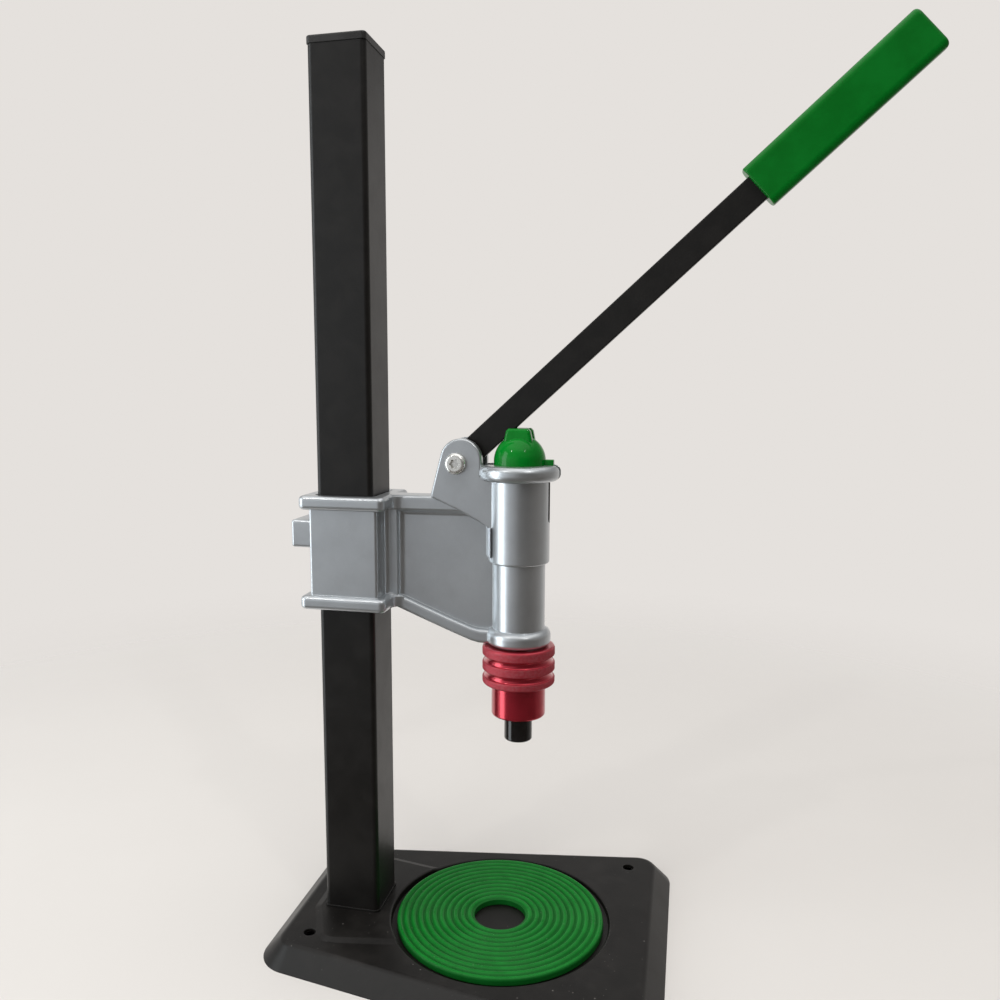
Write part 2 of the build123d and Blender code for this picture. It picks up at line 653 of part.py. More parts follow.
def collet():
    body = soften(ram_round(COLLET_R, COLLET_LO, DIE_LO + 6), 1.2, on_z(COLLET_LO))
    body = body + ram_round(12.4, DIE_LO + 4.25, DIE_LO + 7.2)
    body = body - ram_round(COLLET_BORE_R, COLLET_LO - 1, COLLET_LO + COLLET_BORE_L + 0.8)
    body = soften(
        body, 0.7, lambda e: is_circle(e, COLLET_BORE_R) and abs(e.center().Z - COLLET_LO) < 0.5)
    return body - ram_round(3.0, COLLET_LO, 180)


def die_spring():
    return spring(10.6, 0.8, DIE_LO + 7.3, DIE_TOP, turns=5.5, x=RAM_X)


def save(shape, name):
    solids = shape.solids()
    shape = solids[0] if len(solids) == 1 else Compound(children=list(solids))
    shape.label = name
    export_step(shape, f"parts/{name}.step")


# each piece's file takes its function's name
os.makedirs("parts", exist_ok=True)
for piece in (
    base_plate, backing_plate, column_bolts, bolt_washers, bottle_mat,
    column, column_foot, column_cap, head_casting, column_glides,
    lock_cam, lock_pin, lock_spring,
    pivot_bolt, pivot_nut, lever_bar, lever_grip, lever_bush, pivot_washers,
    plunger_cap, plunger_rod, cap_nut, guide_bush, return_spring,
    die_holder, die_sleeve, collet, die_spring,
):
    save(piece(), piece.__name__)
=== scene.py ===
# A hand lever press for bottles: base plate, column, head casting, lever, plunger and die.
# It stands on z = 0 with +Z up, and is seen from the -Y side. The plunger's axis is upright at
# x = RAM_X, y = 0. Lengths are in metres; the knurled holder's profile is worked out in mm.
import math
from functools import cached_property

import bmesh
import bpy
from mathutils import Matrix, Vector


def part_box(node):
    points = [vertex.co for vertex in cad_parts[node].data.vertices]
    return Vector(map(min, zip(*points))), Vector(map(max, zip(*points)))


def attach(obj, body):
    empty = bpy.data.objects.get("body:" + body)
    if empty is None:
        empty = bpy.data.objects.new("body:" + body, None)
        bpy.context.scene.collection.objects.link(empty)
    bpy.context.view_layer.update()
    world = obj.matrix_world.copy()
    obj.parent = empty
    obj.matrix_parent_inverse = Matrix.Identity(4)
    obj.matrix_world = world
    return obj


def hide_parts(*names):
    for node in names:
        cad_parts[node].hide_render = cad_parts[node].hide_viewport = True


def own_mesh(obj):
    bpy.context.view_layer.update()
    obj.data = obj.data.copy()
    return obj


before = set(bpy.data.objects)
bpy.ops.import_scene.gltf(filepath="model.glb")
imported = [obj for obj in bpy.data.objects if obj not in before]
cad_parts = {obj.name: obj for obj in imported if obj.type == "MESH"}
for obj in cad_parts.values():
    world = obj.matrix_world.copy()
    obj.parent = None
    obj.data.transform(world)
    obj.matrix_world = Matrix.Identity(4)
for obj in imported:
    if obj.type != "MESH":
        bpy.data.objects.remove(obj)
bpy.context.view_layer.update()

RAM_X = 0.1175
FLOOR_X = 0.05
FLOOR_RADII = (0.12, 0.22, 0.32, 0.42, 0.55, 0.7, 0.9, 1.15, 1.2)
FLOOR_SIDES = 72
WALL_COLOR = (0.783, 0.752, 0.723)


# ------------------------------------------------------------------ node helpers
class Graph:
    """A node tree, with short names for the nodes used most."""

    def __init__(self, owner):
        owner.use_nodes = True
        self.tree = owner.node_tree
        self.tree.nodes.clear()

    def add(self, kind, inputs=None, **settings):
        node = self.tree.nodes.new(kind)
        for key, value in settings.items():
            setattr(node, key, value)
        for key, value in (inputs or {}).items():
            self.put(node.inputs[key], value)
        return node

    def put(self, socket, value):
        """Link a socket, or set a value; a colour of three numbers gets alpha 1."""
        if isinstance(value, bpy.types.NodeSocket):
            self.tree.links.new(value, socket)
        elif isinstance(value, tuple) and len(value) == 3 and len(socket.default_value) == 4:
            socket.default_value = (*value, 1)
        else:
            socket.default_value = value

    def split(self, vector):
        return tuple(self.add("ShaderNodeSeparateXYZ", {0: vector}).outputs)

    def span(self, value, over, to=(0.0, 1.0), smooth=True):
        """Map the range `over` onto the range `to`, clamped at both ends."""
        inputs = {"Value": value, "From Min": over[0], "From Max": over[1],
                  "To Min": to[0], "To Max": to[1]}
        kind = "SMOOTHSTEP" if smooth else "LINEAR"
        return self.add("ShaderNodeMapRange", inputs, interpolation_type=kind).outputs[0]

    def mix(self, share, low, high):
        inputs = {0: share, 6: low, 7: high}
        return self.add("ShaderNodeMix", inputs, data_type="RGBA").outputs[2]

    def mix_shader(self, share, low, high):
        return self.add("ShaderNodeMixShader", {0: share, 1: low, 2: high}).outputs[0]


class Kit(Graph):
    """One material's node tree, textured in object coordinates."""

    INPUTS = {
        "color": "Base Color", "rough": "Roughness", "metal": "Metallic", "coat": "Coat Weight",
        "coat_rough": "Coat Roughness", "spec": "Specular IOR Level", "normal": "Normal",
        "coat_normal": "Coat Normal",
    }

    def __init__(self, name):
        self.mat = bpy.data.materials.new(name)
        super().__init__(self.mat)
        self.bsdf = self.add("ShaderNodeBsdfPrincipled")
        self.out = self.add("ShaderNodeOutputMaterial", {0: self.bsdf.outputs[0]})
        self.pos = self.add("ShaderNodeTexCoord").outputs["Object"]

    @cached_property
    def axes(self):
        return self.split(self.pos)

    def finish(self, **values):
        for key, value in values.items():
            self.put(self.bsdf.inputs[self.INPUTS[key]], value)
        return self.mat

    def math(self, operation, first, second=0.0):
        inputs = {0: first, 1: second, 2: 0.0}
        return self.add("ShaderNodeMath", inputs, operation=operation).outputs[0]

    def plus(self, first, second):
        return self.math("ADD", first, second)

    def times(self, product, *factors):
        for factor in factors:
            product = self.math("MULTIPLY", product, factor)
        return product

    def larger(self, first, second):
        return self.math("MAXIMUM", first, second)

    def fade(self, share, low, high):
        """Mix two plain values."""
        return self.add("ShaderNodeMix", {0: share, 2: low, 3: high}, data_type="FLOAT").outputs[0]

    def noise(self, scale, detail=3.0, rough=0.5, distort=0.0, stretch=None):
        vector = self.pos
        if stretch:
            inputs = {0: vector, 1: stretch}
            vector = self.add("ShaderNodeVectorMath", inputs, operation="MULTIPLY").outputs[0]
        inputs = {"Vector": vector, "Scale": scale, "Detail": detail, "Roughness": rough,
                  "Distortion": distort}
        return self.add("ShaderNodeTexNoise", inputs).outputs["Fac"]

    def mottle(self, over, to=(0.0, 1.0), **noise):
        """Noise mapped from the range `over` onto the range `to`."""
        return self.span(self.noise(**noise), over, to)

    def tones(self, pattern, over, low, high, to=(0.0, 1.0)):
        """Colour that goes from low to high as the pattern crosses `over`."""
        return self.mix(self.span(pattern, over, to), low, high)

    def tint(self, color, mask, strength, toward):
        return self.mix(self.times(mask, strength), color, toward)

    def bump(self, height, strength, distance, normal=None):
        inputs = {"Height": height, "Strength": strength, "Distance": distance}
        if normal is not None:
            inputs["Normal"] = normal
        return self.add("ShaderNodeBump", inputs).outputs[0]

    def grain(self, normal, strength, distance, **noise):
        """Noise bump over an earlier normal."""
        return self.bump(self.noise(**noise), strength, distance, normal)

    def soften(self, radius, samples=4):
        """Normal rounded at the edges."""
        return self.add("ShaderNodeBevel", {"Radius": radius}, samples=samples).outputs[0]

    def edge_mask(self, soft):
        """1 where the softened normal leaves the true one, which is on an edge."""
        inputs = {0: soft, 1: self.add("ShaderNodeNewGeometry").outputs["Normal"]}
        dot = self.add("ShaderNodeVectorMath", inputs, operation="DOT_PRODUCT")
        return self.span(dot.outputs["Value"], over=(0.995, 0.80))

    def up(self):
        return self.split(self.add("ShaderNodeNewGeometry").outputs["Normal"])[2]

    def cells(self, scale):
        """(distance to the cell's point, random value of the cell)."""
        cell = self.add("ShaderNodeTexVoronoi", {"Vector": self.pos, "Scale": scale}).outputs
        channels = self.add("ShaderNodeSeparateColor", {0: cell["Color"]}).outputs
        return cell["Distance"], channels[0]

    def specks(self, scale, size, share):
        """Mask of small round specks in some of the cells."""
        distance, chance = self.cells(scale)
        chosen = self.math("LESS_THAN", chance, share)
        return self.times(self.span(distance, over=(size, size * 0.45)), chosen)

    def radial(self, center_x):
        """Distance from the upright axis at x = center_x, y = 0."""
        across = self.math("SUBTRACT", self.axes[0], center_x)
        along = self.math("SUBTRACT", self.axes[1], 0.0)
        return self.math("SQRT", self.plus(self.times(across, across), self.times(along, along)))


# ------------------------------------------------------------------ materials
def powder_coat(name, edge_radius, spec, dust=0.0):
    """Satin black powder coat: fine orange peel, dull patches, thin lighter edges, a little dust."""
    kit = Kit(name)
    soft = kit.soften(edge_radius)
    patch = kit.noise(scale=55, detail=5, rough=0.6, distort=0.4)
    color = kit.tones(patch, over=(0.35, 0.68),
                      low=(0.0058, 0.0052, 0.0047), high=(0.0088, 0.0078, 0.0070))
    worn = kit.times(kit.edge_mask(soft),
                     kit.mottle(scale=260, detail=4, rough=0.65, over=(0.46, 0.66)))
    color = kit.tint(color, worn, strength=0.45, toward=(0.10, 0.098, 0.095))
    rough = kit.mottle(scale=14, detail=4, rough=0.55, over=(0.3, 0.7), to=(0.355, 0.395))
    rough = kit.plus(rough, kit.span(patch, over=(0.4, 0.7), to=(-0.01, 0.025)))
    if dust:
        spot = kit.larger(kit.specks(scale=150, size=0.10, share=0.16),
                          kit.specks(scale=420, size=0.13, share=0.10))
        film = kit.times(kit.mottle(scale=38, detail=5, rough=0.6, over=(0.48, 0.80)), 0.035)
        # it settles on faces that look up
        cover = kit.times(kit.larger(kit.times(spot, 0.55), film),
                          kit.span(kit.up(), over=(0.55, 0.95)), dust)
        color = kit.mix(cover, low=color, high=(0.30, 0.285, 0.265))
        rough = kit.plus(rough, kit.times(cover, 0.4))
    normal = kit.grain(soft, scale=620, detail=2, rough=0.45, strength=0.22, distance=0.00012)
    normal = kit.grain(normal, scale=2400, detail=2, rough=0.6, strength=0.16, distance=0.00005)
    return kit.finish(color=color, rough=rough, spec=spec, normal=normal)


def bore_shade_mask(kit):
    """Mask of the casting's two bores round the plunger and the slot beside them, where shade is
    painted in.
    """
    x, y, z = kit.axes
    radius = kit.radial(RAM_X)
    upper = kit.times(kit.span(radius, over=(0.0178, 0.0176)), kit.span(z, over=(0.2800, 0.2808)))
    lower = kit.times(kit.span(radius, over=(0.0152, 0.0150)), kit.span(z, over=(0.2185, 0.2190)))
    beyond = kit.times(kit.span(x, over=(RAM_X + 0.0162, RAM_X + 0.0168)),
                       kit.span(z, over=(0.298, 0.299)))
    slot = kit.times(kit.span(kit.math("ABSOLUTE", y), over=(0.0038, 0.0036)), beyond,
                     kit.span(radius, over=(0.0203, 0.0201)))
    return kit.larger(kit.larger(upper, lower), slot)


def silver_paint(name):
    """Satin metallic paint on a casting: faint cast grain, soft undulation, a clear film over it."""
    kit = Kit(name)
    soft = kit.soften(0.0007, samples=8)
    flake = kit.cells(scale=1500)[1]
    cloud = kit.noise(scale=26, detail=4, rough=0.55)
    fine = kit.noise(scale=150)
    color = kit.tones(cloud, over=(0.3, 0.7),
                      low=(0.555, 0.585, 0.610), high=(0.605, 0.635, 0.660))
    color = kit.tones(fine, over=(0.42, 0.75), to=(0, 0.10), low=color, high=(0.46, 0.475, 0.48))
    color = kit.tones(flake, over=(0.80, 1.0), to=(0, 0.07), low=color, high=(0.80, 0.82, 0.83))
    # painted highlight: the paint is lightened along every edge, as if the edges caught the light
    color = kit.tint(color, kit.edge_mask(soft), strength=0.20, toward=(0.68, 0.70, 0.71))
    # painted shade: the bores and the slot are coloured near-black, with little metal and no clear
    # film, for the shade inside them
    bore_shade = bore_shade_mask(kit)
    color = kit.mix(bore_shade, low=color, high=(0.018, 0.017, 0.016))
    grime = kit.mottle(scale=42, over=(0.50, 0.8))
    color = kit.tint(color, grime, strength=0.10, toward=(0.16, 0.145, 0.125))
    rough = kit.span(cloud, over=(0.3, 0.7), to=(0.32, 0.36))
    rough = kit.plus(rough, kit.span(fine, over=(0.35, 0.7), to=(-0.01, 0.01)))
    normal = kit.grain(soft, scale=85, detail=2, rough=0.4, strength=0.05, distance=0.0003)
    normal = kit.grain(normal, scale=950, rough=0.55, strength=0.07, distance=0.00005)
    coat_normal = kit.grain(soft, scale=320, detail=2, strength=0.07, distance=0.00010)
    return kit.finish(color=color, rough=rough, metal=kit.fade(bore_shade, low=0.86, high=0.1),
                      coat=kit.fade(bore_shade, low=0.40, high=0.0), coat_rough=0.12,
                      normal=normal, coat_normal=coat_normal)


def mat_plastic(name):
    """Semi-gloss moulded mat: painted shade in the grooves, rubbed ridge tops, fine scuffs."""
    kit = Kit(name)
    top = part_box("bottle_mat")[1].z
    ridge = kit.span(kit.axes[2], over=(top - 0.0013, top - 0.0001))
    patch = kit.noise(scale=70, detail=5, rough=0.6)
    color = kit.tones(patch, over=(0.35, 0.7),
                      low=(0.0045, 0.145, 0.0165), high=(0.0065, 0.178, 0.0215))
    # painted shade: the grooves between the ridges are darkened
    groove = kit.math("SUBTRACT", 1.0, ridge)
    color = kit.tint(color, groove, strength=0.55, toward=(0.0022, 0.050, 0.0065))
    scuff = kit.mottle(scale=240, detail=6, rough=0.7, distort=1.2, over=(0.60, 0.74))
    scuff = kit.times(scuff, ridge)
    color = kit.tint(color, scuff, strength=0.20, toward=(0.06, 0.26, 0.09))
    spot = kit.times(kit.specks(scale=330, size=0.10, share=0.10),
                     kit.span(kit.up(), over=(0.4, 0.9)))
    color = kit.tint(color, spot, strength=0.5, toward=(0.42, 0.44, 0.38))
    rough = kit.fade(ridge, low=0.46, high=0.30)
    rough = kit.plus(rough, kit.span(patch, over=(0.35, 0.7), to=(-0.03, 0.06)))
    rough = kit.plus(rough, kit.times(scuff, 0.18))
    normal = kit.grain(None, scale=900, rough=0.55, strength=0.18, distance=0.00008)
    normal = kit.grain(normal, scale=2600, detail=2, strength=0.12, distance=0.00004)
    return kit.finish(color=color, rough=rough, spec=0.13, normal=normal)


def gloss_green(name, base_rough, scuffs, brightness):
    """Glossy green plastic with a faint moulded ripple, hairline scuffs and paler rubbed edges."""
    kit = Kit(name)
    soft = kit.soften(0.0007)
    cloud = kit.noise(scale=45, detail=4, rough=0.55)
    low, high = (
        tuple(channel * brightness for channel in green)
        for green in ((0.0008, 0.135, 0.0105), (0.0018, 0.165, 0.0150))
    )
    color = kit.tones(cloud, over=(0.32, 0.68), low=low, high=high)
    worn = kit.times(kit.edge_mask(soft),
                     kit.mottle(scale=300, detail=4, rough=0.6, over=(0.4, 0.7)))
    color = kit.tint(color, worn, strength=0.25, toward=(0.03, 0.28, 0.06))
    hairlines = kit.mottle(scale=60, detail=8, rough=0.75, distort=2.5, stretch=(1, 6, 9),
                           over=(0.60, 0.66))
    rough = kit.plus(base_rough, kit.times(hairlines, scuffs * 0.5))
    rough = kit.plus(rough, kit.span(cloud, over=(0.4, 0.75), to=(0.0, 0.07)))
    normal = kit.grain(soft, scale=240, detail=2, rough=0.4, strength=0.10, distance=0.00016)
    normal = kit.grain(normal, scale=1400, detail=2, strength=0.05, distance=0.00005)
    return kit.finish(color=color, rough=rough, spec=0.07, coat=0.30, coat_rough=0.03,
                      coat_normal=soft, normal=normal)


def red_anodised(name, knurled):
    """Dyed anodised aluminium with fine tool rings; the knurl is duller and holds pale dust."""
    kit = Kit(name)
    soft = kit.soften(0.0004)
    cloud = kit.noise(scale=60, detail=4, rough=0.55)
    color = kit.tones(cloud, over=(0.3, 0.7), low=(0.47, 0.0180, 0.038), high=(0.55, 0.024, 0.048))
    rings = kit.noise(scale=1.0, detail=2, stretch=(40, 40, 5200))
    rough = kit.plus(0.24, kit.span(rings, over=(0.35, 0.65), to=(0.0, 0.03)))
    metal = 0.80
    coat = 0.75
    if knurled:
        radius = kit.radial(RAM_X)
        band = kit.span(radius, over=(0.02395, 0.02425))
        crest = kit.span(radius, over=(0.02435, 0.02485))
        dust = kit.times(band, kit.mottle(scale=900, detail=4, rough=0.6,
                                          over=(0.25, 0.75), to=(0.35, 1.0)))
        color = kit.tint(color, dust, strength=0.85, toward=(0.37, 0.052, 0.068))
        rubbed = kit.times(crest, kit.mottle(scale=700, detail=4, rough=0.6, over=(0.35, 0.7)))
        color = kit.tint(color, rubbed, strength=0.40, toward=(0.56, 0.22, 0.24))
        rough = kit.fade(band, low=rough, high=0.46)
        metal = kit.fade(band, low=metal, high=0.50)
        coat = kit.fade(band, low=coat, high=0.0)
    color = kit.tint(color, kit.edge_mask(soft), strength=0.22, toward=(0.62, 0.16, 0.19))
    normal = kit.bump(rings, strength=0.03, distance=0.00002, normal=soft)
    normal = kit.grain(normal, scale=1500, rough=0.55, strength=0.06, distance=0.00004)
    return kit.finish(color=color, rough=rough, metal=metal, coat=coat, coat_rough=0.16,
                      normal=normal)


def gloss_black(name):
    """Glossy black with hairline scuffs."""
    kit = Kit(name)
    soft = kit.soften(0.0004)
    cloud = kit.noise(scale=120, detail=5, rough=0.6)
    color = kit.tones(cloud, over=(0.35, 0.7),
                      low=(0.0055, 0.0050, 0.0048), high=(0.0105, 0.0095, 0.0090))
    color = kit.tint(color, kit.edge_mask(soft), strength=0.25, toward=(0.05, 0.048, 0.046))
    hairlines = kit.mottle(scale=90, detail=8, rough=0.75, distort=2.0, stretch=(2, 2, 9),
                           over=(0.60, 0.67))
    uneven = kit.plus(kit.times(hairlines, 0.10), kit.span(cloud, over=(0.4, 0.7), to=(0, 0.06)))
    normal = kit.grain(soft, scale=500, detail=2, rough=0.4, strength=0.06, distance=0.0001)
    return kit.finish(color=color, rough=kit.plus(0.16, uneven), spec=0.5, coat=0.15,
                      coat_rough=0.07, normal=normal)


def satin_plastic(name, low, high, base_rough):
    """Satin plastic with a fine grain and rubbed, paler edges."""
    kit = Kit(name)
    soft = kit.soften(0.0004)
    cloud = kit.noise(scale=80, detail=4, rough=0.55)
    color = kit.tones(cloud, over=(0.3, 0.7), low=low, high=high)
    worn = kit.times(kit.edge_mask(soft), kit.mottle(scale=400, rough=0.6, over=(0.4, 0.7)))
    paler = tuple(min(1.0, channel * 1.8 + 0.03) for channel in high)
    color = kit.tint(color, worn, strength=0.3, toward=paler)
    rough = kit.plus(base_rough, kit.span(cloud, over=(0.35, 0.7), to=(-0.04, 0.06)))
    normal = kit.grain(soft, scale=1300, rough=0.6, strength=0.22, distance=0.00006)
    return kit.finish(color=color, rough=rough, normal=normal)


def plated(name, low, high, stain, base_rough=0.20, spangle=900, metal=1.0):
    """Bright plated or ground steel with spangle, faint stains and rubbed edges."""
    kit = Kit(name)
    soft = kit.soften(0.0003)
    cloud = kit.noise(scale=240, detail=5, rough=0.6)
    color = kit.tones(cloud, over=(0.3, 0.7), low=low, high=high)
    stained = kit.mottle(scale=320, detail=6, rough=0.65, distort=0.8,
                         over=(0.56, 0.78), to=(0, 0.35))
    color = kit.mix(stained, low=color, high=stain)
    color = kit.tint(color, kit.edge_mask(soft), strength=0.3, toward=(0.88, 0.88, 0.86))
    uneven = kit.plus(kit.span(kit.cells(spangle)[1], over=(0.0, 1.0), to=(-0.03, 0.06)),
                      kit.span(cloud, over=(0.4, 0.7), to=(0, 0.06)))
    normal = kit.grain(soft, scale=1900, rough=0.55, strength=0.10, distance=0.00004)
    return kit.finish(color=color, rough=kit.plus(base_rough, uneven), metal=metal, normal=normal)


def turned(name, low, high, base_rough=0.22):
    """Turned metal: fine rings stacked along the upright axis."""
    kit = Kit(name)
    rings = kit.noise(scale=1.0, rough=0.6, stretch=(30, 30, 6500))
    cloud = kit.noise(scale=130, detail=4, rough=0.6)
    color = kit.tones(cloud, over=(0.3, 0.7), low=low, high=high)
    rough = kit.plus(base_rough, kit.span(rings, over=(0.3, 0.7), to=(0.0, 0.10)))
    normal = kit.bump(rings, strength=0.16, distance=0.00004, normal=kit.soften(0.0003))
    return kit.finish(color=color, rough=rough, metal=1.0, normal=normal)


MATERIALS = {
    "frame_coat": powder_coat("powder_coat_column", edge_radius=0.0006, spec=0.40),
    "base_coat": powder_coat("powder_coat_base", edge_radius=0.0009, spec=0.30, dust=0.8),
    "lever_coat": powder_coat("powder_coat_lever", edge_radius=0.0005, spec=0.38),
    "cap": satin_plastic("column_cap_plastic", low=(0.012, 0.0115, 0.011),
                         high=(0.020, 0.019, 0.018), base_rough=0.38),
    "silver": silver_paint("silver_casting_paint"),
    "mat": mat_plastic("mat_plastic_green"),
    "green": gloss_green("green_cap_gloss", base_rough=0.11, scuffs=0.15, brightness=1.18),
    "grip": gloss_green("green_grip_gloss", base_rough=0.19, scuffs=0.30, brightness=0.92),
    "red": red_anodised("red_anodised_turned", knurled=False),
    "knurl": red_anodised("red_anodised_knurled", knurled=True),
    "collet": gloss_black("collet_black_gloss"),
    "zinc": plated("zinc_plate", low=(0.86, 0.86, 0.83), high=(0.93, 0.93, 0.90),
                   stain=(0.62, 0.60, 0.55), metal=0.82),
    "steel": turned("ground_steel", low=(0.52, 0.52, 0.51), high=(0.62, 0.62, 0.61)),
    "spring": plated("spring_wire", low=(0.34, 0.33, 0.31), high=(0.46, 0.45, 0.43),
                     stain=(0.12, 0.09, 0.06), base_rough=0.26, spangle=1500),
    "bronze": turned("sintered_bronze", low=(0.48, 0.29, 0.11), high=(0.58, 0.37, 0.16),
                     base_rough=0.34),
    "nylon": satin_plastic("natural_nylon", low=(0.66, 0.64, 0.58), high=(0.76, 0.74, 0.69),
                           base_rough=0.42),
}

# CAD piece: material
FINISH = {
    "base_plate": "base_coat", "backing_plate": "frame_coat", "column": "frame_coat",
    "column_foot": "frame_coat", "column_cap": "cap", "bottle_mat": "mat",
    "column_bolts": "zinc", "bolt_washers": "zinc", "head_casting": "silver",
    "column_glides": "nylon", "pivot_bolt": "zinc", "pivot_nut": "zinc", "guide_bush": "bronze",
    "return_spring": "spring", "lock_pin": "steel", "lock_spring": "spring", "lock_cam": "zinc",
    "lever_bar": "lever_coat", "lever_grip": "grip", "lever_bush": "steel",
    "pivot_washers": "nylon", "plunger_cap": "green", "plunger_rod": "steel",
    "cap_nut": "zinc", "die_holder": "knurl", "die_sleeve": "red", "die_spring": "spring",
    "collet": "collet",
}
for piece, finish in FINISH.items():
    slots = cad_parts[piece].data.materials
    slots.clear()
    slots.append(MATERIALS[finish])


# ------------------------------------------------------------------ pieces
def bridge(start, after, around):
    """Quads between two rings of vertices, given the index of each ring's first vertex."""
    return [
        (start + j, start + (j + 1) % around, after + (j + 1) % around, after + j)
        for j in range(around)
    ]


def new_object(name, verts, faces, material, body, crease=None):
    """Smooth-shaded piece riding on a body; edges at or above the crease angle stay sharp."""
    mesh = bpy.data.meshes.new(name)
    mesh.from_pydata(verts, [], faces)
    mesh.validate()
    mesh.update()
    piece = bpy.data.objects.new(name, mesh)
    bpy.context.scene.collection.objects.link(piece)
    mesh.materials.append(MATERIALS[material])
    for polygon in mesh.polygons:
        polygon.use_smooth = True
    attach(piece, body)
    bm = bmesh.new()
    bm.from_mesh(mesh)
    bmesh.ops.recalc_face_normals(bm, faces=bm.faces)
    if crease is not None:
        for edge in bm.edges:
            edge.smooth = len(edge.link_faces) == 2 and edge.calc_face_angle(0) < crease
    bm.to_mesh(mesh)
    bm.free()
    return piece


def holder_profile(outer, top, bottom):
    """Closed outline in mm as rows of (radius, z, knurl depth 0..1)."""
    bore, socket, socket_depth = 6.02, 15.02, 14
    rim_width, rim_drop = 1.7, 1.4
    groove_drops = (9.0, 19.4)
    groove_half, groove_depth = 2.45, 1.55
    knurl_from_groove = 2.9
    lip = 0.35              # the grooves start this far inside the knurl
    knurl_step = 0.26
    rows = []

    def trace(points, step=None):
        for (r0, z0, k0), (r1, z1, k1) in zip(points[:-1], points[1:]):
            count = max(1, int(math.ceil(math.hypot(r1 - r0, z1 - z0) / step))) if step else 1
            for i in range(count):
                t = i / count
                rows.append((r0 + (r1 - r0) * t, z0 + (z1 - z0) * t, k0 + (k1 - k0) * t))

    trace([(bore, top - 1.0, 0), (7.5, top, 0), (outer - 2.0, top, 0)])
    for i in range(6):      # rounded upper rim
        angle = math.radians(90 * i / 6)
        rows.append((outer - 2.0 + rim_width * math.sin(angle),
                     top - rim_drop + rim_drop * math.cos(angle), 0.0))
    edge = top - rim_drop
    for drop in groove_drops:
        groove = top - drop
        trace([(outer - 0.30, edge, 0), (outer, edge - 0.5, 1),
               (outer, groove + knurl_from_groove, 1),
               (outer - lip, groove + groove_half, 0)], knurl_step)
        for i in range(1, 12):
            angle = math.pi * i / 12
            rows.append((outer - lip - groove_depth * math.sin(angle) ** 0.8,
                         groove + groove_half * math.cos(angle), 0))
        edge = groove - groove_half
    trace([(outer - lip, edge, 0), (outer, edge - 0.45, 1), (outer, bottom + 1.1, 1),
           (outer - 0.45, bottom + 0.35, 0.8), (outer - 1.0, bottom, 0)], knurl_step)
    trace([(outer - 1.0, bottom, 0), (socket, bottom, 0), (socket, bottom + socket_depth, 0),
           (bore, bottom + socket_depth, 0), (bore, top - 1.0, 0)])
    return rows


def knurled_holder():
    """Die holder: three diamond-knurled bands, two smooth round grooves, chamfered lower rim."""
    lo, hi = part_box("die_holder")
    outer = (hi.x - lo.x) * 500
    center_x = (hi.x + lo.x) / 2
    rows = holder_profile(outer, hi.z * 1000, lo.z * 1000)
    diamonds, per_diamond = 112, 4
    around = diamonds * per_diamond
    diamond_height = 2 * math.pi * outer / diamonds * 1.25
    knurl_depth = 0.42
    verts, faces = [], []
    for radius, z, knurl in rows:
        for j in range(around):
            angle = 2 * math.pi * j / around
            # distance to the nearest of the two crossing sets of slanted cuts
            rising = abs(2 * ((j / per_diamond + z / diamond_height) % 1) - 1)
            falling = abs(2 * ((j / per_diamond - z / diamond_height) % 1) - 1)
            cut = 1 - min(1.0, 1.35 * min(rising, falling) ** 0.8)
            cut_radius = (radius - knurl_depth * knurl * cut) / 1000
            verts.append((center_x + cut_radius * math.cos(angle),
                          cut_radius * math.sin(angle), z / 1000))
    for i in range(len(rows)):
        faces += bridge(i * around, ((i + 1) % len(rows)) * around, around)
    holder = new_object("die_holder_knurled", verts, faces, "knurl", "plunger",
                        crease=math.radians(50))
    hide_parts("die_holder")


def coil(node, radius, wire, bottom, top, turns, body, center_x=RAM_X):
    """Spring of wire radius `wire`, coiled between bottom and top round an upright axis at center_x.
    """
    rings, around = int(turns * 28), 10
    height = top - bottom - 2 * wire
    lean = math.atan2(height, turns * 2 * math.pi * radius)
    verts, faces = [], []
    for i in range(rings + 1):
        t = i / rings
        angle = 2 * math.pi * turns * t
        out = Vector((math.cos(angle), math.sin(angle), 0))
        along = Vector((-math.sin(angle), math.cos(angle), 0))
        lift = Vector((0, 0, math.cos(lean))) - along * math.sin(lean)
        center = Vector((center_x, 0, bottom + wire + height * t)) + out * radius
        for j in range(around):
            turn = 2 * math.pi * j / around
            point = center + out * (wire * math.cos(turn)) + lift * (wire * math.sin(turn))
            verts.append(tuple(point))
    for i in range(rings):
        faces += bridge(i * around, (i + 1) * around, around)
    faces.append(tuple(range(around - 1, -1, -1)))
    faces.append(tuple(rings * around + j for j in range(around)))
    spring = new_object(node + "_coil", verts, faces, "spring", body)
    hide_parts(node)
    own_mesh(spring)


knurled_holder()
coil("return_spring", radius=0.0116, wire=0.0011, bottom=0.2411, top=0.3362, turns=8.5,
     body="head")
coil("die_spring", radius=0.0106, wire=0.0008, bottom=0.1729, top=0.2022, turns=5.5,
     body="plunger")
coil("lock_spring", radius=0.0023, wire=0.00035, bottom=0.28205, top=0.2869, turns=3.5,
     body="head", center_x=-0.0346)


